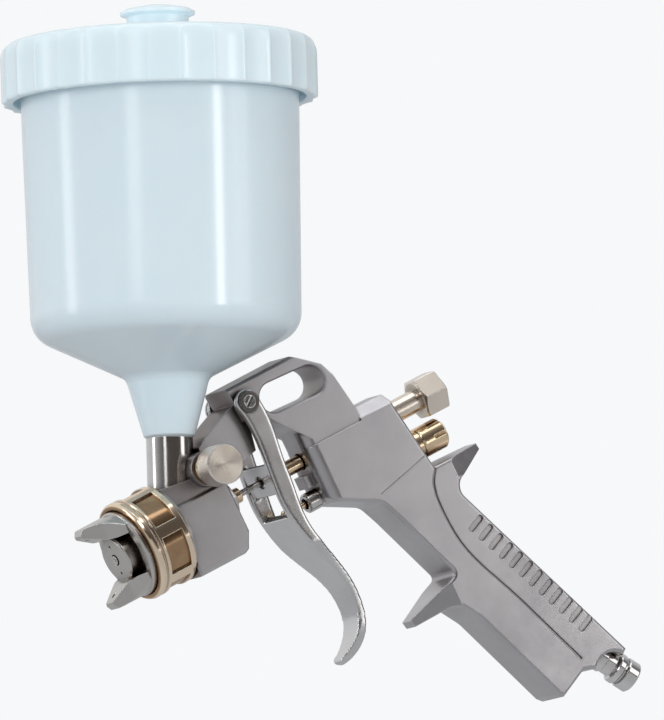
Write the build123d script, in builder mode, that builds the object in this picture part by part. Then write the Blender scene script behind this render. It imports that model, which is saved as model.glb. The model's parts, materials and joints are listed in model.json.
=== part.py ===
from build123d import *
import math
import os

# HVLP gravity-feed spray gun, in millimetres.
# Origin: centre of the hanging eye.  +Z is up along the paint cup's axis.
# The gun lies in the XZ plane and sprays towards -X, nose down by `tilt`.
# Gun coordinates: u runs back along the spray axis, v runs up from it.

# ---- driving dimensions ----
tilt = 26.5
spray_v = -25.0
valve_v = -39.0
pivot_u = -19.5
pivot_v = 3.5
fan_u = -45.8
fan_v = -10.3
cup_x = -44.3
inlet_u = 68.4
inlet_v = -134.8
inlet_lean = 34.0
fit = 0.06

body_half = 9.2
hook_half = 8.6
head_half = 11.0
neck_half = 9.5
bridge_half = 7.5
front_u = -5.2

nose_r = 16.8
nose_front = -75.1
block_front = -64.5
block_rear = -40.0
ring_r = 18.25
ring_front = -80.8
ring_rear = -65.0
hub_front = -86.9

tube_r = 8.2
tube_bore_r = 6.0
tube_top = -17.9
tube_foot = -42.0
spigot_r = 5.9

cup_r = 48.65
cup_low_r = 47.4
cup_wall = 1.8
cup_rim_z = 117.5
lid_r = 55.5
lid_bottom_z = 101.0
lid_top_z = 122.0
plug_r = 13.1

needle_r = 1.2
chamber_r = 4.1
valve_chamber_r = 5.2
web_rear = -21.2

os.makedirs("parts", exist_ok=True)

tilt_rad = math.radians(tilt)
back_dir = Vector(math.cos(tilt_rad), 0, math.sin(tilt_rad))
up_dir = Vector(-math.sin(tilt_rad), 0, math.cos(tilt_rad))
gun_plane = Plane(origin=(0, 0, 0), x_dir=back_dir, z_dir=(0, -1, 0))
cup_plane = Plane(origin=(cup_x, 0, 0), x_dir=(1, 0, 0), z_dir=(0, -1, 0))
cup_axis = Axis((cup_x, 0, 0), (0, 0, 1))


def place(u, v, y=0.0):
    """Point of the row frame for gun coordinates (u, v) at depth y."""
    spot = back_dir * u + up_dir * v
    return Vector(spot.X, y, spot.Z)


def gun_axis(v):
    return Axis(place(0, v), back_dir)


def across_plane(u, v, y):
    """Sketch plane square to Y at gun point (u, v); its normal points to -Y."""
    return Plane(origin=place(u, v, y), x_dir=back_dir, z_dir=(0, -1, 0))


def station_plane(u, v):
    """Sketch plane square to the spray axis at station u; its normal points back."""
    return Plane(origin=place(u, v), x_dir=(0, -1, 0), z_dir=back_dir)


def lathe(points, v, mode=Mode.ADD):
    """Turn a closed profile of (u, radius) points about a line along the gun at height v."""
    with BuildSketch(gun_plane) as profile:
        with BuildLine():
            Polyline(*[(u, v + r) for u, r in points], close=True)
        make_face()
    revolve(profile.sketch, axis=gun_axis(v), mode=mode)


def drum(u0, u1, r, v, mode=Mode.ADD):
    lathe([(u0, 0), (u0, r), (u1, r), (u1, 0)], v, mode)


def tube(u0, u1, r_out, r_in, v):
    lathe([(u0, r_in), (u0, r_out), (u1, r_out), (u1, r_in)], v)


def cup_lathe(points, mode=Mode.ADD, rounds=()):
    """Turn a closed profile of (radius, z) points about the cup's axis.

    rounds lists (index, radius): the corner at points[index] is rounded to that radius.
    """
    with BuildSketch(cup_plane) as profile:
        with BuildLine():
            Polyline(*points, close=True)
        make_face()
        for index, radius in rounds:
            corner = Vector(*points[index])
            nearest = profile.vertices().sort_by(lambda v: (v.center() - corner).length)[0]
            fillet(nearest, radius)
    revolve(profile.sketch, axis=cup_axis, mode=mode)


def side_lathe(points, u, v, mode=Mode.ADD):
    """Turn a closed profile of (radius, y) points about a line along Y through (u, v)."""
    spot = place(u, v)
    plane = Plane(origin=spot, x_dir=(1, 0, 0), z_dir=(0, 0, 1))
    with BuildSketch(plane) as profile:
        with BuildLine():
            Polyline(*points, close=True)
        make_face()
    revolve(profile.sketch, axis=Axis(spot, (0, 1, 0)), mode=mode)


def slab(points, half, mode=Mode.ADD, plane=gun_plane):
    """Extrude a closed outline in the gun's plane to both sides."""
    with BuildSketch(plane) as outline:
        with BuildLine():
            Polyline(*points, close=True)
        make_face()
    extrude(outline.sketch, amount=half, both=True, mode=mode)


def rod(u0, v0, u1, v1, r, mode=Mode.ADD):
    """Round bar in the gun's plane from (u0, v0) to (u1, v1)."""
    start = place(u0, v0)
    run = place(u1, v1) - start
    with BuildSketch(Plane(origin=start, x_dir=(0, 1, 0), z_dir=run)) as section:
        Circle(r)
    extrude(section.sketch, amount=run.length, mode=mode)


def bevelled_hex(u0, u1, flat_radius, v, bevel):
    """Hexagon head between two stations, with its outer corners turned down."""
    with BuildSketch(station_plane(u0, v)) as hexagon:
        RegularPolygon(flat_radius, 6, major_radius=False)
    extrude(hexagon.sketch, amount=u1 - u0)
    corner = flat_radius / math.cos(math.radians(30))
    lathe([(u1 + bevel, corner - 2 * bevel), (u1 + bevel, corner + 1), (u1 - bevel, corner + 1)],
          v, Mode.SUBTRACT)


def coil(r, wire, u0, u1, turns, v):
    """Round-wire compression spring along the gun between two stations."""
    pitch = (u1 - u0) / turns
    origin = place(u0, v)
    path = Helix(pitch=pitch, height=u1 - u0, radius=r, center=origin, direction=back_dir, mode=Mode.PRIVATE)
    start = Plane(origin=path @ 0, z_dir=path % 0)
    with BuildSketch(start) as section:
        Circle(wire)
    sweep(section.sketch, path=path, is_frenet=True)


def inlet_point(s):
    """Gun coordinates at distance s outwards along the inlet's axis from the handle's foot."""
    lean = math.radians(inlet_lean)
    return inlet_u + s * math.sin(lean), inlet_v - s * math.cos(lean)


# ---- gun_body: one casting ----
inlet_depth = 12.0
inlet_thread_r = 4.9
channel_r = 3.0
channel_top_u = 26.0
groove_width = 0.9
groove_depth = 0.5
groove_points = [(37.6, -48.4), (34.4, -52.5), (32.9, -62.0), (34.4, -77.0), (43.5, -98.4), (51.2, -116.5),
                 (57.8, -132.2)]
crease_points = [(13.6, -47.4), (36.2, -42.6)]
crease_depth = 0.2
notch_count = 12
notch_first = (42.6, -72.3)
notch_last = (65.2, -121.8)
notch_length = 7.4
notch_width = 2.3
notch_depth = 0.7
notch_lean = 22.0
eye_half_long = 13.4
eye_half_high = 5.4
eye_lean = -3.0
ledge_v = -21.2
boss_top_v = -16.4

housing_outline = [
    (front_u, ledge_v),
    (front_u, -39.5),
    (-2.5, -42.6),
    (5.2, -46.4),
    (12.4, -50.0),
    (15.9, -57.3),
    (27.2, -84.6),
    (5.9, -92.3),
    (6.6, -95.0),
    (20.5, -94.2),
    (24.0, -96.2),
    (28.6, -103.0),
    (43.6, -139.2),
    (45.4, -141.0),
    (56.9, -136.0),
    (62.4, -138.0),
    (73.6, -138.0),
    (75.7, -136.4),
    (45.3, -66.0),
    (41.6, -57.4),
    (59.0, -50.2),
    (58.6, -47.8),
    (37.6, -47.6),
    (33.3, ledge_v - 0.6),
    (32.4, boss_top_v - 0.4),
    (19.0, boss_top_v),
    (19.0, ledge_v),
]
# corners of the outline that are rounded, with their radii
housing_rounds = {(12.4, -50.0): 6.0, (27.2, -84.6): 2.0, (20.5, -94.2): 3.0, (28.6, -103.0): 12.0,
                  (41.6, -57.4): 5.0}
scallop_spot = (67.6, -142.2)
scallop_r = 7.45
hook_outline = [
    (-23.9, 10.5),
    (4.5, 10.5),
    (8.8, 7.3),
    (14.3, 3.0),
    (16.8, -2.4),
    (18.3, -10.7),
    (19.4, -17.0),
    (19.4, -24.0),
    (front_u, -24.0),
    (front_u, -14.5),
    (-13.0, -5.6),
    (-17.0, -2.6),
    (-22.4, -2.2),
]
bridge_outline = [
    (-42.5, -3.2),
    (-38.4, -0.8),
    (-26.0, 3.9),
    (-22.0, 4.6),
    (-20.5, -3.0),
    (-22.7, -13.3),
    (-30.0, -14.6),
    (-40.5, -18.5),
    (-47.0, -18.5),
]
neck_outline = [
    (block_front, -9.6),
    (-48.5, -11.6),
    (-42.5, -12.6),
    (-40.8, -20.0),
    (block_front, -20.0),
]
block_outline = [
    (block_front, -17.5),
    (block_rear, -17.5),
    (block_rear, -36.7),
    (-43.0, -42.3),
    (-45.0, -43.2),
    (block_front, -43.2),
]


def on_sides(half):
    """Selects what lies in the two side faces at Y = half and Y = -half."""
    return lambda shape: abs(abs(shape.center().Y) - half) < 0.01


def front_upright(edge):
    """Selects the two upright edges at the front of the housing."""
    return edge.length > 14 and abs(edge.center().dot(back_dir) - front_u) < 0.1


def height(shape):
    return shape.center().dot(up_dir)


def taper(u_tip, u_root, v_low, v_high, half_tip):
    """Pare a guard horn down on both sides, from the full width at its root to half_tip at its tip."""
    reach = u_tip + 4 * (u_tip - u_root) / abs(u_tip - u_root)
    plan = Plane(origin=place(0, v_low), x_dir=back_dir, z_dir=up_dir)
    with BuildSketch(plan) as sides:
        for side in (-1, 1):
            with BuildLine():
                Polyline((u_root, side * (body_half + 0.05)), (u_tip, side * half_tip),
                         (reach, side * half_tip), (reach, side * 15), (u_root, side * 15), close=True)
            make_face()
    extrude(sides.sketch, amount=v_high - v_low, mode=Mode.SUBTRACT)


with BuildPart() as housing:
    with BuildSketch(gun_plane) as side_view:
        with BuildLine():
            Polyline(*housing_outline, close=True)
        make_face()
        for spot, radius in housing_rounds.items():
            corner = Vector(*spot)
            nearest = side_view.vertices().sort_by(lambda v: (v.center() - corner).length)[0]
            fillet(nearest, radius)
        with Locations(scallop_spot):
            Circle(scallop_r, mode=Mode.SUBTRACT)
    extrude(side_view.sketch, amount=body_half, both=True)
    fillet(housing.edges().filter_by(on_sides(body_half)).filter_by(front_upright), radius=4.5)
    boss_edges = housing.edges().filter_by(on_sides(body_half))
    chamfer(boss_edges.filter_by(lambda e: height(e) > boss_top_v - 1), length=4.0)
    side_edges = housing.faces().filter_by(on_sides(body_half)).edges()
    fillet(side_edges.filter_by(lambda e: height(e) < ledge_v - 3), radius=1.3)
    taper(5.9, 24.0, -98.0, -84.0, 3.2)
    taper(59.0, 44.0, -55.0, -46.0, 4.0)

with BuildPart() as hook:
    slab(hook_outline, hook_half)
    with BuildSketch(gun_plane) as eye:
        SlotOverall(2 * eye_half_long, 2 * eye_half_high, rotation=eye_lean)
    extrude(eye.sketch, amount=20, both=True, mode=Mode.SUBTRACT)
    for side in (-1, 1):
        # rim plane, with its normal pointing into the hook
        rim_plane = Plane(origin=(0, side * (hook_half + 0.01), 0), x_dir=back_dir, z_dir=(0, -side, 0))
        with BuildSketch(rim_plane) as rim:
            SlotOverall(2 * eye_half_long + 1.2, 2 * eye_half_high + 1.2, rotation=side * eye_lean)
        extrude(rim.sketch, amount=0.6, taper=45, mode=Mode.SUBTRACT)
    front_corners = hook.edges().filter_by(on_sides(hook_half))
    fillet(front_corners.filter_by(lambda e: abs(e.center().dot(back_dir) - front_u) < 0.1), radius=4.0)
    top_edges = hook.edges().filter_by(on_sides(hook_half))
    chamfer(top_edges.filter_by(lambda e: height(e) > 10.0), length=1.0)

with BuildPart() as head_block:
    slab(block_outline, head_half)
    chamfer(head_block.edges().filter_by(on_sides(head_half)), length=0.7)

with BuildPart() as gun_body:
    add(housing.part)
    add(hook.part)
    add(head_block.part)
    slab(bridge_outline, bridge_half)
    slab(neck_outline, neck_half)
    drum(nose_front, block_front + 1.0, nose_r, spray_v)
    side_lathe([(0, -13.0), (6.2, -13.0), (6.2, -4.0), (0, -4.0)], fan_u, fan_v)
    # pad between the two front openings
    with BuildSketch(station_plane(front_u, -32.0)) as pad:
        Rectangle(7.0, 4.6)
    extrude(pad.sketch, amount=-3.2)
    # seat of the fluid inlet tube and its passage to the needle
    cup_lathe([(0, tube_foot), (tube_r, tube_foot), (tube_r, 30), (0, 30)], Mode.SUBTRACT)
    cup_lathe([(0, -50), (5.0, -50), (5.0, tube_foot), (0, tube_foot)], Mode.SUBTRACT)
    # nose: baffle recess, nozzle thread, fluid gallery, packing bore
    drum(nose_front - 1, -73.5, 14.0, spray_v, Mode.SUBTRACT)
    drum(-74, -65.2, 5.6, spray_v, Mode.SUBTRACT)
    drum(-66, -54.0, 3.4, spray_v, Mode.SUBTRACT)
    drum(-54.5, -46.0, 3.0, spray_v, Mode.SUBTRACT)
    drum(-46.5, block_rear + 1, 4.0, spray_v, Mode.SUBTRACT)
    # rear housing: needle spring chamber and air valve chamber
    drum(front_u - 1, 1.5, 3.2, spray_v, Mode.SUBTRACT)
    drum(1.0, 5.0, 1.5, spray_v, Mode.SUBTRACT)
    drum(4.5, 50.0, chamber_r, spray_v, Mode.SUBTRACT)
    drum(front_u - 1, 3.0, 3.0, valve_v, Mode.SUBTRACT)
    drum(2.5, 9.0, 1.9, valve_v, Mode.SUBTRACT)
    drum(8.5, 50.0, valve_chamber_r, valve_v, Mode.SUBTRACT)
    # fan valve seat and trigger pin hole
    side_lathe([(0, -14.0), (4.0, -14.0), (4.0, -8.6), (0, -8.6)], fan_u, fan_v, Mode.SUBTRACT)
    side_lathe([(0, -20.0), (2.6, -20.0), (2.6, 20.0), (0, 20.0)], pivot_u, pivot_v, Mode.SUBTRACT)
    # air channel up the handle and the socket of the inlet plug
    rod(*inlet_point(3.0), *inlet_point(-inlet_depth), inlet_thread_r + fit, Mode.SUBTRACT)
    rod(*inlet_point(2.9), *inlet_point(12.0), inlet_thread_r - 0.2, Mode.SUBTRACT)
    rod(*inlet_point(-inlet_depth + 1.0), channel_top_u, valve_v, channel_r, Mode.SUBTRACT)
    # curved groove and grip notches on both sides of the handle
    for side in (-1, 1):
        with BuildSketch(Plane(origin=(0, side * body_half, 0), x_dir=back_dir, z_dir=(0, -1, 0))) as groove:
            with BuildLine() as groove_line:
                Spline(*groove_points)
            trace(groove_line.line, groove_width)
        extrude(groove.sketch, amount=groove_depth, both=True, mode=Mode.SUBTRACT)
        with BuildSketch(Plane(origin=(0, side * body_half, 0), x_dir=back_dir, z_dir=(0, -1, 0))) as crease:
            with BuildLine() as crease_line:
                Line(*crease_points)
            trace(crease_line.line, crease_depth * 2)
        extrude(crease.sketch, amount=crease_depth, both=True, mode=Mode.SUBTRACT)
        with BuildSketch(Plane(origin=(0, side * body_half, 0), x_dir=back_dir, z_dir=(0, -1, 0))) as notches:
            for step in range(notch_count):
                share = step / (notch_count - 1)
                notch_u = notch_first[0] + share * (notch_last[0] - notch_first[0])
                notch_v = notch_first[1] + share * (notch_last[1] - notch_first[1])
                with Locations(Location((notch_u, notch_v), notch_lean)):
                    SlotOverall(notch_length, notch_width)
        extrude(notches.sketch, amount=notch_depth, both=True, mode=Mode.SUBTRACT)
gun_body.part.label = "gun_body"
export_step(gun_body.part, "parts/gun_body.step")


# ---- fluid inlet, nozzle and what seals them ----
with BuildPart() as fluid_inlet:
    cup_lathe([(tube_bore_r, tube_top), (tube_r, tube_top), (tube_r, tube_foot),
               (4.9, tube_foot), (4.9, -46.0), (3.6, -46.0), (3.6, -30.0), (tube_bore_r, -28.0)])
fluid_inlet.part.label = "fluid_inlet"
export_step(fluid_inlet.part, "parts/fluid_inlet.step")

with BuildPart() as fluid_nozzle:
    lathe([(-87.2, 0.8), (-87.2, 1.6), (-84.5, 1.6), (-77.0, 6.0), (-77.0, 8.0), (-75.0, 8.0),
           (-75.0, 5.5), (-66.2, 5.5), (-66.2, 2.0), (-82.2, 2.0), (-86.0, 1.1), (-86.6, 0.8)], spray_v)
fluid_nozzle.part.label = "fluid_nozzle"
export_step(fluid_nozzle.part, "parts/fluid_nozzle.step")

with BuildPart() as nozzle_seal:
    tube(-66.1, -65.3, 5.4, 3.0, spray_v)
nozzle_seal.part.label = "nozzle_seal"
export_step(nozzle_seal.part, "parts/nozzle_seal.step")

with BuildPart() as air_baffle:
    tube(-74.9, -73.6, 13.8, 5.7, spray_v)
    with BuildSketch(station_plane(-75.0, spray_v)) as baffle_holes:
        with PolarLocations(10.0, 10):
            Circle(1.1)
    extrude(baffle_holes.sketch, amount=2.0, mode=Mode.SUBTRACT)
air_baffle.part.label = "air_baffle"
export_step(air_baffle.part, "parts/air_baffle.step")

with BuildPart() as needle_packing:
    tube(-53.8, -48.2, 2.95, needle_r + fit, spray_v)
needle_packing.part.label = "needle_packing"
export_step(needle_packing.part, "parts/needle_packing.step")

with BuildPart() as packing_nut:
    bevelled_hex(-39.9, -36.0, 4.8, spray_v, 0.5)
    drum(-46.4, -39.9, 3.9, spray_v)
    drum(-47.0, -35.0, needle_r + 0.3, spray_v, Mode.SUBTRACT)
    drum(-37.2, -35.0, 2.9, spray_v, Mode.SUBTRACT)
packing_nut.part.label = "packing_nut"
export_step(packing_nut.part, "parts/packing_nut.step")

with BuildPart() as packing_sleeve:
    tube(-37.1, -32.6, 2.8, needle_r + 0.3, spray_v)
packing_sleeve.part.label = "packing_sleeve"
export_step(packing_sleeve.part, "parts/packing_sleeve.step")

# ---- air cap and its ring ----
horn_outline = [(-80.0, 15.1), (-95.0, 15.1), (-96.4, 13.4), (-96.2, 12.2), (-93.0, 10.4), (-89.0, 8.2),
                (-86.4, 7.6), (-80.0, 7.6)]
with BuildPart() as air_cap:
    for side in (-1, 1):
        slab([(u, spray_v + side * r) for u, r in horn_outline], 11.5)
    horn_plane = Plane(origin=place(0, spray_v), x_dir=(0, -1, 0), z_dir=up_dir)
    with BuildSketch(horn_plane) as horn_taper:
        with BuildLine():
            Polyline((-11.5, -79.0), (-11.5, -83.4), (-6.0, -89.0), (-2.2, -97.0), (2.2, -97.0),
                     (6.0, -89.0), (11.5, -83.4), (11.5, -79.0), close=True)
        make_face()
    extrude(horn_taper.sketch, amount=20, both=True, mode=Mode.INTERSECT)
    with BuildSketch(station_plane(-98.0, spray_v)) as cap_limit:
        Circle(15.6)
    extrude(cap_limit.sketch, amount=20, mode=Mode.INTERSECT)
    lathe([(-75.2, 0), (-75.2, 16.7), (-78.4, 16.7), (-78.4, 15.9), (-82.2, 15.9), (-82.8, 15.3),
           (-82.8, 12.2), (-82.2, 11.7), (-80.6, 11.2), (-80.6, 9.2), (-81.2, 8.7), (-86.2, 8.7),
           (hub_front, 8.0), (hub_front, 0)], spray_v)
    lathe([(-75.0, 0), (-75.0, 9.6), (-77.4, 9.6), (-85.2, 3.0), (-85.2, 2.1), (-88.0, 2.1), (-88.0, 0)],
          spray_v, Mode.SUBTRACT)
    for side in (-1, 1):
        rod(-92.4, spray_v + side * 8.6, -94.3, spray_v + side * 13.2, 0.75, Mode.SUBTRACT)
        rod(-89.0, spray_v + side * 5.0, -81.0, spray_v + side * 5.0, 0.55, Mode.SUBTRACT)
air_cap.part.label = "air_cap"
export_step(air_cap.part, "parts/air_cap.step")

ring_ribs = 6
rib_phase = 110.0
pocket_arc = 46.0
pocket_depth = 0.85
with BuildPart() as cap_ring:
    lathe([(ring_rear, nose_r + fit), (ring_rear, ring_r - 0.4), (ring_rear - 0.4, ring_r), (-77.0, ring_r),
           (-77.4, 17.7), (-77.9, 17.7), (-78.3, 18.3), (-79.6, 18.3), (-80.4, 17.9), (ring_front, 17.2),
           (ring_front, 16.4), (-80.5, 16.1), (-79.1, 16.1), (-79.1, nose_r + fit)], spray_v)
    with BuildSketch(station_plane(-76.0, spray_v)) as pockets:
        for index in range(ring_ribs):
            middle = rib_phase + 360 / ring_ribs * (index + 0.5)
            with BuildLine():
                outer = CenterArc((0, 0), ring_r + 1, middle - pocket_arc / 2, pocket_arc)
                inner = CenterArc((0, 0), ring_r - pocket_depth, middle - pocket_arc / 2, pocket_arc)
                Line(outer @ 0, inner @ 0)
                Line(outer @ 1, inner @ 1)
            make_face()
    extrude(pockets.sketch, amount=8.6, mode=Mode.SUBTRACT)
cap_ring.part.label = "cap_ring"
export_step(cap_ring.part, "parts/cap_ring.step")

with BuildPart() as cap_retainer:
    tube(-79.0, -78.5, nose_r - 0.1, 16.1, spray_v)
cap_retainer.part.label = "cap_retainer"
export_step(cap_retainer.part, "parts/cap_retainer.step")

# ---- needle, its collar, spring and fluid knob ----
with BuildPart() as fluid_needle:
    lathe([(-87.3, 0), (-87.3, 0.55), (-86.5, 0.7), (-85.8, 1.1), (-83.5, needle_r), (9.5, needle_r),
           (9.5, 3.5), (11.0, 3.5), (11.0, 1.6), (20.0, 1.6), (20.0, 0)], spray_v)
fluid_needle.part.label = "fluid_needle"
export_step(fluid_needle.part, "parts/fluid_needle.step")

with BuildPart() as needle_collar:
    lathe([(-18.7, needle_r), (-18.7, 2.0), (-18.0, 2.8), (-5.6, 2.8), (-5.2, 2.4), (-5.2, needle_r)],
          spray_v)
needle_collar.part.label = "needle_collar"
export_step(needle_collar.part, "parts/needle_collar.step")

with BuildPart() as needle_spring:
    coil(2.7, 0.4, 11.6, 25.6, 8, spray_v)
needle_spring.part.label = "needle_spring"
export_step(needle_spring.part, "parts/needle_spring.step")

with BuildPart() as fluid_spring_seat:
    tube(26.2, 27.6, chamber_r - 0.1, 1.8, spray_v)
fluid_spring_seat.part.label = "fluid_spring_seat"
export_step(fluid_spring_seat.part, "parts/fluid_spring_seat.step")

with BuildPart() as fluid_knob:
    bevelled_hex(46.6, 55.8, 6.85, spray_v, 0.9)
    lathe([(46.4, 0), (46.4, 5.8), (47.6, 8.4), (47.6, 12), (58, 12), (58, 0)], spray_v, Mode.INTERSECT)
    drum(27.8, 47.0, chamber_r - fit, spray_v)
    drum(26.0, 38.0, 2.2, spray_v, Mode.SUBTRACT)
fluid_knob.part.label = "fluid_knob"
export_step(fluid_knob.part, "parts/fluid_knob.step")

# ---- air valve and air knob ----
with BuildPart() as valve_gland:
    lathe([(-10.4, 2.1), (-10.4, 3.1), (-9.9, 3.6), (front_u - 0.1, 3.6), (front_u - 0.1, 2.94),
           (0.5, 2.94), (0.5, 2.1)], valve_v)
valve_gland.part.label = "valve_gland"
export_step(valve_gland.part, "parts/valve_gland.step")

with BuildPart() as valve_packing:
    tube(0.6, 2.4, 2.9, needle_r + fit, valve_v)
valve_packing.part.label = "valve_packing"
export_step(valve_packing.part, "parts/valve_packing.step")

with BuildPart() as valve_seat:
    tube(8.6, 10.6, valve_chamber_r - 0.04, 2.6, valve_v)
valve_seat.part.label = "valve_seat"
export_step(valve_seat.part, "parts/valve_seat.step")

with BuildPart() as valve_stem:
    lathe([(-20.3, 0), (-20.3, 1.2), (-19.8, 1.7), (-13.6, 1.7), (-13.0, needle_r), (10.8, needle_r),
           (10.8, 2.0), (13.1, 2.0), (13.1, 3.4), (14.2, 3.4), (14.2, 2.2), (16.2, 2.2), (16.2, 0)], valve_v)
valve_stem.part.label = "valve_stem"
export_step(valve_stem.part, "parts/valve_stem.step")

with BuildPart() as valve_disc:
    tube(10.9, 13.0, 4.3, 2.0, valve_v)
valve_disc.part.label = "valve_disc"
export_step(valve_disc.part, "parts/valve_disc.step")

with BuildPart() as valve_spring:
    coil(3.2, 0.4, 14.8, 27.6, 7, valve_v)
valve_spring.part.label = "valve_spring"
export_step(valve_spring.part, "parts/valve_spring.step")

with BuildPart() as air_spring_seat:
    tube(28.2, 29.4, valve_chamber_r - 0.1, 1.6, valve_v)
air_spring_seat.part.label = "air_spring_seat"
export_step(air_spring_seat.part, "parts/air_spring_seat.step")

with BuildPart() as air_knob:
    lathe([(29.8, 0), (29.8, valve_chamber_r - fit), (39.6, valve_chamber_r - fit), (39.6, 5.3), (40.2, 5.6),
           (49.2, 5.6), (50.0, 4.9), (50.0, 1.6), (49.0, 1.6), (49.0, 0)], valve_v)
    with BuildSketch(station_plane(44.4, valve_v)) as knob_slots:
        with PolarLocations(5.6, 6):
            Rectangle(2.2, 1.3)
    extrude(knob_slots.sketch, amount=8.0, mode=Mode.SUBTRACT)
air_knob.part.label = "air_knob"
export_step(air_knob.part, "parts/air_knob.step")

# ---- fan valve on the near side of the head ----
with BuildPart() as fan_bushing:
    side_lathe([(2.1, -8.8), (3.95, -8.8), (3.95, -13.1), (5.2, -13.1), (5.2, -14.6), (4.8, -15.0),
                (2.1, -15.0)], fan_u, fan_v)
fan_bushing.part.label = "fan_bushing"
export_step(fan_bushing.part, "parts/fan_bushing.step")

with BuildPart() as fan_stem:
    side_lathe([(0, -8.8), (0.6, -8.8), (2.0, -10.2), (2.0, -11.2), (1.3, -11.2), (1.3, -12.4), (2.0, -12.4),
                (2.0, -22.0), (0, -22.0)], fan_u, fan_v)
fan_stem.part.label = "fan_stem"
export_step(fan_stem.part, "parts/fan_stem.step")

with BuildPart() as fan_stem_seal:
    side_lathe([(1.35, -11.3), (2.03, -11.3), (2.03, -12.3), (1.35, -12.3)], fan_u, fan_v)
fan_stem_seal.part.label = "fan_stem_seal"
export_step(fan_stem_seal.part, "parts/fan_stem_seal.step")

with BuildPart() as fan_knob:
    side_lathe([(2.0, -15.3), (4.3, -15.3), (4.3, -18.6), (6.6, -18.6), (7.15, -19.2), (7.15, -27.0),
                (6.6, -27.6), (0, -27.6), (0, -22.0), (2.0, -22.0)], fan_u, fan_v)
fan_knob.part.label = "fan_knob"
export_step(fan_knob.part, "parts/fan_knob.step")

# ---- trigger and its pin ----
cheek_in = 9.3
cheek_out = 11.9
bridge = 1.8
with BuildPart() as trigger:
    with BuildSketch(gun_plane) as trigger_side:
        with BuildLine():
            Spline((-24.0, -27.0), (-24.1, -37.0), (-21.4, -49.0), (-17.9, -58.0), (-13.4, -69.0),
                   (-12.8, -78.0), (-14.4, -84.0), (-18.5, -88.8), (-25.2, -92.6))
            Polyline((-25.2, -92.6), (-25.6, -93.8), (-24.4, -95.2))
            Spline((-24.4, -95.2), (-16.5, -92.0), (-11.6, -85.6), (-9.7, -78.0), (-10.2, -69.0),
                   (-13.6, -58.0), (-17.0, -48.5), (-17.9, -39.0), (-16.9, -29.0), (-16.2, -20.5),
                   (-14.9, -11.0), (-14.9, 2.6))
            Polyline((-14.9, 2.6), (-24.1, 2.6))
            Spline((-24.1, 2.6), (-22.8, -4.0), (-22.9, -15.0), (-24.0, -27.0))
        make_face()
        with Locations((pivot_u, pivot_v)):
            Circle(4.7)
    extrude(trigger_side.sketch, amount=cheek_out, both=True)
    slab([(-32, 12), (-32, -19), (web_rear, -19), (web_rear, -43.5), (-18.6, -47.5), (-2, -47.5), (-2, 12)],
         cheek_in, Mode.SUBTRACT)
    # the front is open between the cheeks, apart from a thin bridge that carries the needle hole
    slab([(-32, -18), (web_rear - bridge, -18), (web_rear - bridge, -30.5), (web_rear + 1, -30.5),
          (web_rear + 1, -37.5), (-32, -43.5)], cheek_in, Mode.SUBTRACT)
    front_plane = Plane(origin=(0, 0, 0), x_dir=(0, 1, 0), z_dir=back_dir)
    with BuildSketch(front_plane) as trigger_front:
        with BuildLine():
            Polyline((-10.0, -58.0), (-12.5, -48.0), (-12.5, 12.0), (12.5, 12.0), (12.5, -48.0),
                     (10.0, -58.0))
            Spline((10.0, -58.0), (8.0, -69.0), (6.6, -80.0), (5.9, -87.0), (4.0, -92.2), (0, -95.3),
                   (-4.0, -92.2), (-5.9, -87.0), (-6.6, -80.0), (-8.0, -69.0), (-10.0, -58.0))
        make_face()
    extrude(trigger_front.sketch, amount=40, both=True, mode=Mode.INTERSECT)
    drum(-27.0, -20.0, 2.3, spray_v, Mode.SUBTRACT)
    side_lathe([(0, -20), (2.56, -20), (2.56, 20), (0, 20)], pivot_u, pivot_v, Mode.SUBTRACT)
trigger.part.label = "trigger"
export_step(trigger.part, "parts/trigger.step")

with BuildPart() as trigger_pin:
    side_lathe([(0, -13.5), (2.1, -13.5), (2.5, -13.1), (2.5, 12.1), (4.6, 12.1), (4.6, 13.0), (4.0, 13.6),
                (0, 13.6)], pivot_u, pivot_v)
    with BuildSketch(across_plane(pivot_u, pivot_v, -12.9)) as pin_slot:
        with Locations(Location((0, 0), 35)):
            Rectangle(6.0, 0.9)
    extrude(pin_slot.sketch, amount=1.0, mode=Mode.SUBTRACT)
trigger_pin.part.label = "trigger_pin"
export_step(trigger_pin.part, "parts/trigger_pin.step")

with BuildPart() as trigger_pin_clip:
    side_lathe([(2.5, -12.1), (3.9, -12.1), (3.9, -12.5), (3.6, -12.8), (2.5, -12.8)], pivot_u, pivot_v)
trigger_pin_clip.part.label = "trigger_pin_clip"
export_step(trigger_pin_clip.part, "parts/trigger_pin_clip.step")

# ---- air inlet plug at the foot of the handle ----
inlet_axis_dir = place(*inlet_point(1.0)) - place(*inlet_point(0.0))
inlet_plane = Plane(origin=place(inlet_u, inlet_v), x_dir=inlet_axis_dir, z_dir=(0, -1, 0))


def inlet_lathe(points, mode=Mode.ADD):
    """Turn a closed profile of (distance out, radius) points about the inlet's axis."""
    with BuildSketch(inlet_plane) as profile:
        with BuildLine():
            Polyline(*points, close=True)
        make_face()
    revolve(profile.sketch, axis=Axis(inlet_plane.origin, inlet_plane.x_dir), mode=mode)


with BuildPart() as air_inlet:
    inlet_lathe([(-11.4, channel_r), (-11.4, inlet_thread_r), (2.6, inlet_thread_r), (3.2, 4.3), (6.6, 4.3),
                 (7.3, 5.4), (7.7, 5.7), (9.5, 5.7), (9.9, 5.3), (9.9, 4.8), (10.9, 4.8), (10.9, 5.3),
                 (11.3, 5.7), (15.2, 5.7), (15.8, 5.1), (15.8, channel_r)])
air_inlet.part.label = "air_inlet"
export_step(air_inlet.part, "parts/air_inlet.step")

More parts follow.
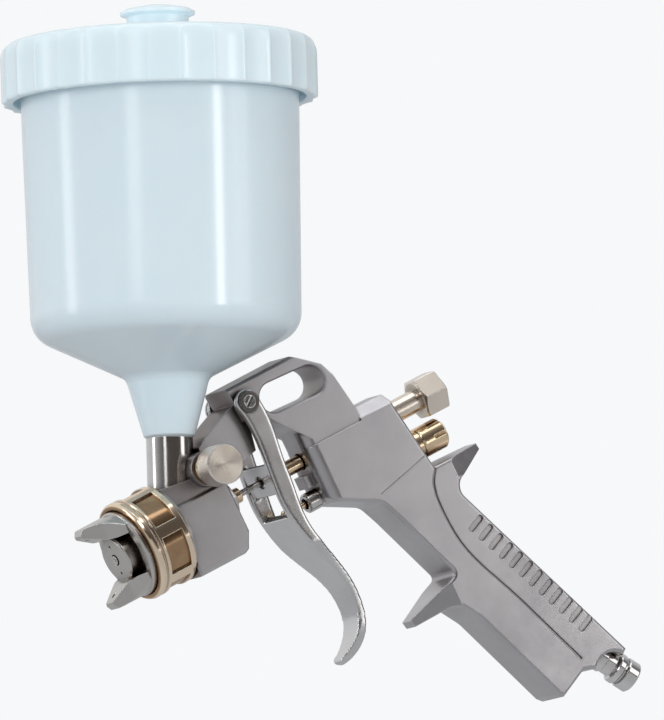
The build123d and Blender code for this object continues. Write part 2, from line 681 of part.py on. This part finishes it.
with BuildPart() as inlet_seal:
    inlet_lathe([(-11.9, channel_r + 0.1), (-11.9, 4.8), (-11.5, 4.8), (-11.5, channel_r + 0.1)])
inlet_seal.part.label = "inlet_seal"
export_step(inlet_seal.part, "parts/inlet_seal.step")

# ---- cup, lid and vent ----
with BuildPart() as cup:
    cup_lathe([(3.9, -26.0), (spigot_r, -26.0), (spigot_r, -17.0), (8.0, -17.0), (8.0, -17.7), (9.0, -17.0),
               (14.7, 3.3), (cup_low_r - 0.1, 19.2), (cup_r, 95.0), (cup_r, 105.0), (50.8, 106.4),
               (50.8, 107.8), (cup_r, 109.2), (cup_r, 111.0), (50.8, 112.4), (50.8, 113.8), (cup_r, 115.2),
               (cup_r, cup_rim_z),
               (cup_r - cup_wall, cup_rim_z), (cup_r - cup_wall, 95.0), (cup_low_r - cup_wall - 0.1, 20.4),
               (12.7, 4.5), (7.6, -14.6), (3.9, -18.0)],
              rounds=[(6, 4.0), (7, 10.0), (20, 8.2), (21, 5.0)])
cup.part.label = "cup"
export_step(cup.part, "parts/cup.step")

with BuildPart() as cup_seal:
    cup_lathe([(spigot_r + 0.1, -17.85), (7.9, -17.85), (7.9, -17.05), (spigot_r + 0.1, -17.05)])
cup_seal.part.label = "cup_seal"
export_step(cup_seal.part, "parts/cup_seal.step")

with BuildPart() as cup_strainer:
    cup_lathe([(0, -24.0), (2.6, -24.0), (3.3, -23.0), (3.3, -18.6), (6.4, -13.6), (9.0, -4.0), (9.0, -3.0),
               (8.4, -3.0), (5.8, -13.4), (2.7, -18.2), (2.7, -22.6), (0, -23.2)])
cup_strainer.part.label = "cup_strainer"
export_step(cup_strainer.part, "parts/cup_strainer.step")

with BuildPart() as lid_seal:
    cup_lathe([(44.5, cup_rim_z + 0.1), (51.0, cup_rim_z + 0.1), (51.0, 119.1), (44.5, 119.1)])
lid_seal.part.label = "lid_seal"
export_step(lid_seal.part, "parts/lid_seal.step")

flute_count = 30
with BuildPart() as lid:
    cup_lathe([(51.2, lid_bottom_z), (lid_r, lid_bottom_z), (lid_r, 117.6), (54.6, 120.2), (52.2, lid_top_z),
               (12.0, 122.8), (8.1, 122.8), (8.1, 119.6), (51.2, 119.2)])
    with BuildSketch(Plane(origin=(cup_x, 0, lid_bottom_z - 1), z_dir=(0, 0, 1))) as flutes:
        with PolarLocations(lid_r + 5.6, flute_count):
            Circle(6.9)
    extrude(flutes.sketch, amount=17.4, mode=Mode.SUBTRACT)
lid.part.label = "lid"
export_step(lid.part, "parts/lid.step")

with BuildPart() as vent_plug:
    cup_lathe([(0, 116.5), (7.6, 116.5), (8.0, 117.2), (8.0, 122.9), (10.9, 122.9), (10.9, 130.6),
               (plug_r, 131.4), (plug_r, 132.4), (11.2, 133.4), (6.0, 134.4), (0, 134.8)])
vent_plug.part.label = "vent_plug"
export_step(vent_plug.part, "parts/vent_plug.step")
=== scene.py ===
import json
import math

import bpy
from mathutils import Matrix, Vector


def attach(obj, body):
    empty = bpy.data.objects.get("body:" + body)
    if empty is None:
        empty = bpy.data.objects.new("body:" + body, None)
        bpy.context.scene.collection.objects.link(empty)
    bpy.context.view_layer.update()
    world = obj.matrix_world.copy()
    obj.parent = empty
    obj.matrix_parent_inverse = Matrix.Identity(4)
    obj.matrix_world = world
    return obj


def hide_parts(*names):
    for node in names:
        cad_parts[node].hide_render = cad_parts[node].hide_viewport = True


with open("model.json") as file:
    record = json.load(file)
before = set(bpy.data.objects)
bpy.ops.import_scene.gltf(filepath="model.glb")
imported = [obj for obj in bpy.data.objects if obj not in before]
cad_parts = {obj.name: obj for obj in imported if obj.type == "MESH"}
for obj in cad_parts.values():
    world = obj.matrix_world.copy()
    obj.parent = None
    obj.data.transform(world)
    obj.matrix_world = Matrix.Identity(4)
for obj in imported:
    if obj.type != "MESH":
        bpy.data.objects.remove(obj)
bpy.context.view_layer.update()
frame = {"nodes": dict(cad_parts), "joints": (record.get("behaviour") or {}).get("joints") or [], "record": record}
MM = 0.001

# ---- directions and centres of the gun in the frame, in metres ----
joints = {joint["name"]: joint for joint in frame["joints"]}
BACK = Vector(joints["needle_slide"]["axis"]).normalized()
SIDE = Vector((0, 1, 0))
NEEDLE = Vector(joints["fluid_knob_turn"]["pos_m"])
FAN = Vector(joints["fan_knob_turn"]["pos_m"])
CUP_X = joints["lid_turn"]["pos_m"][0]

# ---- camera, with angles in degrees and lengths in metres ----
VIEW_AZIMUTH = -27.0
VIEW_ELEVATION = -7.0
VIEW_ROLL = 1.66
VIEW_DISTANCE = 8.0
VIEW_SPAN = 0.252
SENSOR_WIDTH = 36
AIM_POINT = Vector((0.00335, 0.0, -0.00112))
AIM_RIGHT = 0.0147
AIM_UP = 0.01225


def add_camera():
    """The photograph's camera, aimed beside AIM_POINT by AIM_RIGHT and AIM_UP in the picture."""
    a, e, roll = (math.radians(x) for x in (VIEW_AZIMUTH, VIEW_ELEVATION, VIEW_ROLL))
    right = Vector((math.cos(a), math.sin(a), 0))
    back = Vector((math.sin(a) * math.cos(e), -math.cos(a) * math.cos(e), math.sin(e)))
    up = back.cross(right)
    turned_right = right * math.cos(roll) - up * math.sin(roll)
    turned_up = right * math.sin(roll) + up * math.cos(roll)
    target = AIM_POINT + turned_right * AIM_RIGHT + turned_up * AIM_UP
    data = bpy.data.cameras.new("camera")
    data.sensor_width = SENSOR_WIDTH
    data.lens = SENSOR_WIDTH * VIEW_DISTANCE / VIEW_SPAN
    data.clip_start, data.clip_end = 0.5, 60
    camera = bpy.data.objects.new("camera", data)
    turn = Matrix((turned_right, turned_up, back)).transposed().to_4x4()
    camera.matrix_world = Matrix.Translation(target + back * VIEW_DISTANCE) @ turn
    bpy.context.scene.collection.objects.link(camera)
    bpy.context.scene.camera = camera


def add_light(name, place, size, power, colour=(1, 1, 1), mirrored=True, only=()):
    """A soft box that faces the object, in metres and watts.

    One that isn't mirrored lights only matt surfaces, and only= names what it lights.
    """
    data = bpy.data.lights.new(name, "AREA")
    data.shape = "RECTANGLE"
    data.size, data.size_y = size
    data.energy = power
    data.color = colour
    light = bpy.data.objects.new(name, data)
    light.location = place
    light.rotation_euler = (-Vector(place)).to_track_quat("-Z", "Y").to_euler()
    light.visible_glossy = mirrored
    if only:
        receivers = bpy.data.collections.new(name + "_lights")
        for receiver in only:
            receivers.objects.link(receiver)
        light.light_linking.receiver_collection = receivers
    bpy.context.scene.collection.objects.link(light)


# ---- shader helpers ----
class Nodes:
    """A small wrapper that makes and joins the shader nodes of a material or a world."""

    def __init__(self, owner):
        owner.use_nodes = True
        self.owner = owner
        self.tree = owner.node_tree
        self.shader = self.tree.nodes.get("Principled BSDF")

    def add(self, kind, settings=None, **inputs):
        node = self.tree.nodes.new(kind)
        for key, value in (settings or {}).items():
            setattr(node, key, value)
        for key, value in inputs.items():
            self.put(node, key.replace("_", " "), value)
        return node

    def put(self, node, key, value):
        """Set or link an input, which is given by its name or its number."""
        if isinstance(value, bpy.types.NodeSocket):
            self.tree.links.new(value, node.inputs[key])
        else:
            node.inputs[key].default_value = value

    def ramp(self, factor, stops):
        node = self.add("ShaderNodeValToRGB", Fac=factor)
        elements = node.color_ramp.elements
        while len(elements) < len(stops):
            elements.new(0.5)
        for element, (spot, colour) in zip(elements, stops):
            element.position = spot
            element.color = (*colour, 1)
        return node.outputs["Color"]

    def spread(self, factor, low, high):
        """Spread 0 to 1 over low to high."""
        return self.add("ShaderNodeMapRange", Value=factor, To_Min=low, To_Max=high).outputs["Result"]

    def between(self, value, zero_at, one_at):
        """0 where the value is zero_at, 1 where it is one_at."""
        node = self.add("ShaderNodeMapRange", Value=value, From_Min=zero_at, From_Max=one_at)
        return node.outputs["Result"]

    def noise(self, scale, detail=4.0, rough=0.55):
        coords = self.add("ShaderNodeTexCoord").outputs["Object"]
        node = self.add("ShaderNodeTexNoise", Vector=coords, Scale=scale, Detail=detail, Roughness=rough)
        return node.outputs["Fac"]

    def mix(self, factor, first, second):
        node = self.add("ShaderNodeMix", {"data_type": "RGBA"})
        for index, value in ((0, factor), (6, first), (7, second)):
            self.put(node, index, (*value, 1) if isinstance(value, tuple) else value)
        return node.outputs[2]

    def combine(self, kind, operation, first, second=None):
        """The node of a maths or vector maths operation on one or two values."""
        node = self.add(kind, {"operation": operation})
        self.put(node, 0, first)
        if second is not None:
            self.put(node, 1, second)
        return node

    def bump(self, height, strength, distance, normal=None):
        node = self.add("ShaderNodeBump", Height=height, Strength=strength, Distance=distance)
        if normal is not None:
            self.put(node, "Normal", normal)
        return node.outputs["Normal"]


MASK_SAMPLES = 6


def edge_mask(n, radius):
    """0 on flat metal and 1 on its edges, from how far a rounded normal leaves the true one; the metals paint a
    highlight with it.
    """
    rounded = n.add("ShaderNodeBevel", {"samples": MASK_SAMPLES}, Radius=radius).outputs["Normal"]
    true = n.add("ShaderNodeNewGeometry").outputs["Normal"]
    likeness = n.combine("ShaderNodeVectorMath", "DOT_PRODUCT", rounded, true).outputs["Value"]
    return rounded, n.between(likeness, 0.995, 0.90)


def painted_shade_mask(n, reach):
    """1 deep in a pocket, slot or corner, and 0 on open metal, from ambient occlusion; the metals paint shade with
    it.
    """
    settings = {"samples": MASK_SAMPLES, "only_local": False}
    node = n.add("ShaderNodeAmbientOcclusion", settings, Distance=reach)
    return n.between(node.outputs["AO"], 0.92, 0.35)


def distance_from_axis(n, centre, axis):
    """How far a point is from an axis, in metres."""
    coords = n.add("ShaderNodeTexCoord").outputs["Object"]
    turn = axis.rotation_difference(Vector((0, 0, 1)))
    moved = n.add("ShaderNodeMapping", Vector=coords, Location=turn @ (-centre), Rotation=turn.to_euler())
    split = n.add("ShaderNodeSeparateXYZ", Vector=moved.outputs["Vector"])
    flat = n.add("ShaderNodeCombineXYZ", X=split.outputs["X"], Y=split.outputs["Y"])
    return n.combine("ShaderNodeVectorMath", "LENGTH", flat.outputs["Vector"]).outputs["Value"]


def turned_rings(n, centre, axis, pitch):
    """Fine turned rings round an axis, as a height for bump."""
    waves = n.combine("ShaderNodeMath", "MULTIPLY", distance_from_axis(n, centre, axis), 2 * math.pi / pitch)
    return n.combine("ShaderNodeMath", "SINE", waves.outputs["Value"]).outputs["Value"]


# ---- materials, with pattern scales per metre ----
BLOTCH_SCALE = 90.0
SMUDGE_SCALE = 38.0
WEAR_SCALE = 55.0
FLOOR_BROWN_SCALE = 260.0
CLOUD_SCALE = 28.0
SPECK_SCALE = 500.0
# the mottled brown put on sunk floors inside a radius
FLOOR_BROWN_DARK = (0.22, 0.10, 0.04)
FLOOR_BROWN_LIGHT = (0.52, 0.31, 0.15)
BLACK = (0, 0, 0)
WHITE = (1, 1, 1)


def metal(name, light, dark, rough, grain_scale=5000.0, grain=0.06, wear=0.25, edge_highlight=0.5, soil=0.2,
          edge_radius=0.45, painted_shade=0.7, painted_shade_colour=(0.12, 0.08, 0.06), reach=3.0, spun=None, floors=None):
    """Metal with mottled tone, fine grain, dirt smudges and random worn patches, painted shade in its hollows and
    a painted highlight along its edges.

    edge_radius and reach are in mm; reach is how far the occlusion for the painted shade looks. spun is the
    centre, axis and pitch of turned rings. floors is the centre and axis of a turned part, the radius up to
    which its sunk floors are painted a mottled brown and the one from which they aren't.
    """
    n = Nodes(bpy.data.materials.new(name))
    blotch = n.noise(BLOTCH_SCALE, 5.0)
    fine = n.noise(grain_scale, 6.0)
    rounded, edges = edge_mask(n, edge_radius * MM)
    tone = n.mix(n.spread(blotch, 0.15, 0.95), dark, light)
    smudge = n.ramp(n.noise(SMUDGE_SCALE, 7.0, 0.68), ((0.42, BLACK), (0.72, WHITE)))
    tone = n.mix(n.spread(smudge, 0.0, soil), tone, tuple(c * 0.55 for c in dark))
    # pale tone, for random real wear and for the painted highlight along edges
    pale = tuple(min(1.0, c * 1.3 + 0.05) for c in light)
    # painted highlight along the rounded edges
    tone = n.mix(n.spread(edges, 0.0, edge_highlight), tone, pale)
    worn = n.spread(n.noise(WEAR_SCALE, 6.0, 0.7), 0.0, wear)
    tone = n.mix(worn, tone, pale)
    # painted shade: a darker colour deep in pockets, slots and corners, from ambient occlusion
    tone = n.mix(n.spread(painted_shade_mask(n, reach * MM), 0.0, painted_shade), tone, painted_shade_colour)
    # a mottled brown on sunk floors inside a radius of the part's axis
    if floors:
        centre, axis, brown_within, plain_from = floors
        floor_brown = n.mix(n.spread(n.noise(FLOOR_BROWN_SCALE, 4.0, 0.6), 0.2, 0.9), FLOOR_BROWN_DARK, FLOOR_BROWN_LIGHT)
        inside = n.between(distance_from_axis(n, centre, axis), plain_from, brown_within)
        tone = n.mix(n.spread(inside, 0.0, 0.85), tone, floor_brown)
    n.put(n.shader, "Base Color", tone)
    n.shader.inputs["Metallic"].default_value = 1.0
    if spun:
        n.shader.inputs["Anisotropic"].default_value = 0.95
        around = n.add("ShaderNodeTangent", {"direction_type": "RADIAL", "axis": "Y"})
        n.put(n.shader, "Tangent", around.outputs["Tangent"])
    gloss = n.spread(fine, rough * 0.85, rough * 1.15)
    scuffed = n.combine("ShaderNodeMath", "MULTIPLY", gloss, n.spread(smudge, 0.9, 1.35))
    n.put(n.shader, "Roughness", scuffed.outputs["Value"])
    height = n.bump(fine, grain, 0.05 * MM, rounded)
    if spun:
        height = n.bump(turned_rings(n, *spun), 0.15, 0.02 * MM, height)
    n.put(n.shader, "Normal", height)
    return n.owner


def plastic(name, light, dark, rough, glow, grain=0.08):
    """Milky polyethylene: cloudy tone, soft light inside the wall, a waxy surface."""
    n = Nodes(bpy.data.materials.new(name))
    cloud = n.noise(CLOUD_SCALE, 5.0)
    speck = n.noise(SPECK_SCALE, 4.0)
    tone = n.mix(n.spread(cloud, 0.1, 0.9), dark, light)
    n.put(n.shader, "Base Color", tone)
    n.put(n.shader, "Roughness", n.spread(speck, rough * 0.85, rough * 1.2))
    n.shader.inputs["Subsurface Weight"].default_value = glow
    n.shader.inputs["Subsurface Radius"].default_value = (0.9, 1.0, 1.1)
    n.shader.inputs["Subsurface Scale"].default_value = 3 * MM
    n.put(n.shader, "Normal", n.bump(speck, grain, 0.06 * MM))
    return n.owner


def assign(material, *nodes):
    for node in nodes:
        mesh = frame["nodes"][node].data
        mesh.materials.clear()
        mesh.materials.append(material)
        for polygon in mesh.polygons:
            polygon.material_index = 0


cast = metal("cast_nickel", (0.58, 0.565, 0.58), (0.48, 0.47, 0.48), 0.33, 3200.0, 0.22,
             edge_highlight=0.9, soil=0.12, wear=0.12, edge_radius=0.6, painted_shade=0.85, reach=14.0)
steel = metal("polished_steel", (0.74, 0.72, 0.70), (0.54, 0.51, 0.49), 0.15, grain=0.03)
satin = metal("satin_nickel", (0.62, 0.60, 0.57), (0.52, 0.50, 0.47), 0.27, grain=0.03,
              edge_highlight=0.7, soil=0.15, painted_shade=0.9, reach=5.0)
# the long reach paints shade between the trigger's arms
pull = metal("trigger_steel", (0.74, 0.73, 0.73), (0.62, 0.61, 0.60), 0.20, grain=0.02,
             soil=0.15, painted_shade=0.95, painted_shade_colour=(0.05, 0.04, 0.035), reach=11.0)
brass = metal("gold_brass", (0.98, 0.77, 0.53), (0.84, 0.57, 0.34), 0.13,
              edge_highlight=0.9, soil=0.3, painted_shade=0.95, painted_shade_colour=(0.30, 0.14, 0.06), reach=2.2)
ring_brass = metal("ring_brass", (1.0, 0.82, 0.62), (0.90, 0.66, 0.45), 0.12,
                   edge_highlight=1.0, soil=0.25, painted_shade=0.95, painted_shade_colour=(0.20, 0.09, 0.04), reach=2.0,
                   floors=(NEEDLE, BACK, 17.45 * MM, 17.75 * MM))
champagne = metal("champagne", (0.94, 0.84, 0.72), (0.80, 0.67, 0.54), 0.22, grain=0.02, edge_highlight=0.8)
spun_face = metal("champagne_spun", (0.95, 0.87, 0.77), (0.84, 0.73, 0.62), 0.30, grain=0.0,
                  edge_highlight=0.9, soil=0.05, wear=0.1, painted_shade=0.2, spun=(FAN, SIDE, 0.5 * MM))
chrome = metal("chrome", (0.80, 0.79, 0.78), (0.62, 0.60, 0.58), 0.12, grain=0.02)
dark_steel = metal("dark_steel", (0.20, 0.18, 0.17), (0.09, 0.08, 0.08), 0.30)
cup_plastic = plastic("cup_plastic", (0.80, 0.91, 0.975), (0.70, 0.83, 0.92), 0.17, 0.45, 0.02)
lid_plastic = plastic("lid_plastic", (0.82, 0.93, 0.98), (0.75, 0.88, 0.95), 0.24, 0.4, 0.02)
seal_white = plastic("seal_white", (0.88, 0.88, 0.85), (0.78, 0.78, 0.75), 0.5, 0.1)
seal_black = plastic("seal_black", (0.06, 0.06, 0.06), (0.03, 0.03, 0.03), 0.5, 0.0)

slots = {"cast": cast, "steel": steel, "satin_nickel": satin, "trigger_metal": pull, "gold_brass": brass,
         "champagne": champagne, "chrome": chrome, "dark_steel": dark_steel, "spring_steel": steel,
         "cup_plastic": cup_plastic, "lid_plastic": lid_plastic,
         "seal_white": seal_white, "seal_black": seal_black}
for entry in frame["record"]["subparts"]:
    assign(slots[entry["material_slot"]], entry["node"])

assign(spun_face, "fan_knob")
assign(ring_brass, "cap_ring")


# ---- pieces made here, with lengths in mm ----
def rounded_outline(corners, steps=7):
    """A closed outline from (r, z, rounding) corners, with each rounded corner swept as a short curve."""
    points = []
    count = len(corners)
    for index, (r, z, rounding) in enumerate(corners):
        corner = Vector((r, z))
        if rounding <= 0:
            points.append(corner)
            continue
        before = Vector(corners[index - 1][:2]) - corner
        after = Vector(corners[(index + 1) % count][:2]) - corner
        start = corner + before.normalized() * rounding
        end = corner + after.normalized() * rounding
        for step in range(steps + 1):
            t = step / steps
            points.append(start.lerp(corner, t).lerp(corner.lerp(end, t), t))
    return points


def filled_in(points, spacing):
    """The same closed outline with extra points along its long runs."""
    dense = []
    for index, point in enumerate(points):
        following = points[(index + 1) % len(points)]
        parts = max(1, round((following - point).length / spacing))
        dense += [point.lerp(following, step / parts) for step in range(parts)]
    return dense


def turned(name, outline, segments, shape):
    """A smooth closed ring turned round the cup axis, with shape(r, z, angle) as its radius."""
    vertices, faces = [], []
    count = len(outline)
    for segment in range(segments):
        angle = 2 * math.pi * segment / segments
        for r, z in outline:
            radius = shape(r, z, angle) * MM
            vertices.append((CUP_X + radius * math.cos(angle), radius * math.sin(angle), z * MM))
    for segment in range(segments):
        near, far = segment * count, (segment + 1) % segments * count
        for index in range(count):
            following = (index + 1) % count
            faces.append((near + index, far + index, far + following, near + following))
    mesh = bpy.data.meshes.new(name)
    mesh.from_pydata(vertices, [], faces)
    mesh.polygons.foreach_set("use_smooth", [True] * len(mesh.polygons))
    piece = bpy.data.objects.new(name, mesh)
    bpy.context.scene.collection.objects.link(piece)
    return piece


FLUTES = 30
FLUTE_DEPTH = 1.05
FLUTE_BREADTH_POWER = 0.65
FLUTE_INNER_RADIUS = 52.5
FLUTE_WALL = 2.2
FLUTE_TOP = 121.4
FLUTE_FADE = 4.0
LID_SEGMENTS_PER_FLUTE = 20
LID_POINT_SPACING = 1.1


def fluted(r, z, angle):
    """Broad shallow flutes on the outer wall that fade out over the rounded shoulder."""
    if r < FLUTE_INNER_RADIUS:
        return r
    wave = abs(math.sin(angle * FLUTES / 2)) ** FLUTE_BREADTH_POWER
    outside = min(1.0, (r - FLUTE_INNER_RADIUS) / FLUTE_WALL)
    fade = min(1.0, max(0.0, (FLUTE_TOP - z) / FLUTE_FADE))
    return r - FLUTE_DEPTH * wave * outside * fade * (2 - fade)


def softened(name, node, voxel, passes):
    """A copy of a CAD node with its edges rubbed round, as on a tumbled and polished casting."""
    piece = bpy.data.objects.new(name, frame["nodes"][node].data.copy())
    bpy.context.scene.collection.objects.link(piece)
    remesh = piece.modifiers.new("even", "REMESH")
    remesh.mode = "VOXEL"
    remesh.voxel_size = voxel * MM
    relax = piece.modifiers.new("rub", "SMOOTH")
    relax.factor = 0.5
    relax.iterations = passes
    graph = bpy.context.evaluated_depsgraph_get()
    mesh = bpy.data.meshes.new_from_object(piece.evaluated_get(graph))
    piece.modifiers.clear()
    piece.data = mesh
    mesh.name = name
    mesh.polygons.foreach_set("use_smooth", [True] * len(mesh.polygons))
    return piece


def add_piece(piece, body, node, slot):
    """Put a piece on its body in the place of a CAD node."""
    piece.data.materials.clear()
    piece.data.materials.append(slots[slot])
    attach(piece, body)
    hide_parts(node)


lid_outline = rounded_outline([(51.3, 101.0, 0.8), (55.45, 101.0, 1.1), (55.45, 121.6, 5.0),
                               (50.0, 122.15, 0.0), (12.0, 122.75, 0.0), (8.15, 122.75, 0.3),
                               (8.15, 119.65, 0.3), (51.3, 119.25, 0.8)])
lid_piece = turned("lid_shell", filled_in(lid_outline, LID_POINT_SPACING),
                   FLUTES * LID_SEGMENTS_PER_FLUTE, fluted)
add_piece(lid_piece, "lid", "lid", "lid_plastic")
add_piece(softened("trigger_blade", "trigger", 0.40, 9), "trigger", "trigger", "trigger_metal")

# ---- stage: the world, the floor and the lights, in metres ----
BRIGHT_SIDE = (-0.15, 0.70, 0.70)
ROOM_STRENGTH = 0.75
ROOM_COLOURS = ((0.0, (0.10, 0.08, 0.07)), (0.35, (0.11, 0.10, 0.095)), (0.50, (0.24, 0.24, 0.25)),
                (0.65, (0.60, 0.62, 0.65)), (0.85, (0.90, 0.93, 0.97)), (1.0, (1.0, 1.0, 1.0)))
BACKDROP = (0.93, 0.94, 0.95, 1)
FLOOR_HALF = 60
FLOOR_Z = -4.0
COOL = (0.90, 0.96, 1.0)


def add_world():
    """A dim room with a bright ceiling and back wall, seen only by the object, and a plain pale backdrop."""
    world = bpy.data.worlds.new("studio")
    bpy.context.scene.world = world
    n = Nodes(world)
    n.tree.nodes.clear()
    direction = n.add("ShaderNodeTexCoord").outputs["Generated"]
    lean = n.combine("ShaderNodeVectorMath", "DOT_PRODUCT", direction, BRIGHT_SIDE)
    colour = n.ramp(n.between(lean.outputs["Value"], -1.0, 1.0), ROOM_COLOURS)
    room = n.add("ShaderNodeBackground", Color=colour, Strength=ROOM_STRENGTH)
    backdrop = n.add("ShaderNodeBackground", Color=BACKDROP)
    seen = n.add("ShaderNodeLightPath").outputs["Is Camera Ray"]
    choose = n.add("ShaderNodeMixShader", Fac=seen)
    n.put(choose, 1, room.outputs["Background"])
    n.put(choose, 2, backdrop.outputs["Background"])
    n.add("ShaderNodeOutputWorld", Surface=choose.outputs["Shader"])


def add_floor():
    """A pale floor, so low that a view from a little below the gun still has its camera above it."""
    mesh = bpy.data.meshes.new("floor")
    corners = [(FLOOR_HALF * x, FLOOR_HALF * y, FLOOR_Z) for x, y in ((-1, -1), (1, -1), (1, 1), (-1, 1))]
    mesh.from_pydata(corners, [], [(0, 1, 2, 3)])
    floor = bpy.data.objects.new("floor", mesh)
    bpy.context.scene.collection.objects.link(floor)
    n = Nodes(bpy.data.materials.new("pale_floor"))
    n.put(n.shader, "Base Color", n.mix(n.noise(3.0), (0.86, 0.86, 0.86), (0.9, 0.9, 0.9)))
    n.shader.inputs["Roughness"].default_value = 0.9
    mesh.materials.append(n.owner)


add_camera()
bpy.context.scene.view_settings.view_transform = "Standard"
add_world()
add_floor()
plastics = [frame["nodes"][entry["node"]] for entry in frame["record"]["subparts"]
            if entry["material_slot"] in ("cup_plastic", "lid_plastic")] + [lid_piece]
add_light("key", (0.9, -1.1, 0.45), (0.5, 1.3), 3.3)
add_light("cup_key", (0.50, -1.41, 0.05), (0.16, 0.85), 4.5, only=plastics)
add_light("ceiling", (-0.2, -0.3, 1.5), (1.2, 1.0), 5.0)
add_light("front", (-1.2, -1.7, 0.2), (1.4, 1.4), 14, COOL, mirrored=False)
add_light("left_edge", (-1.3, 0.5, 0.2), (0.25, 1.2), 3.0)
add_light("left_front", (-1.15, -0.95, 0.55), (0.30, 0.8), 2.4)
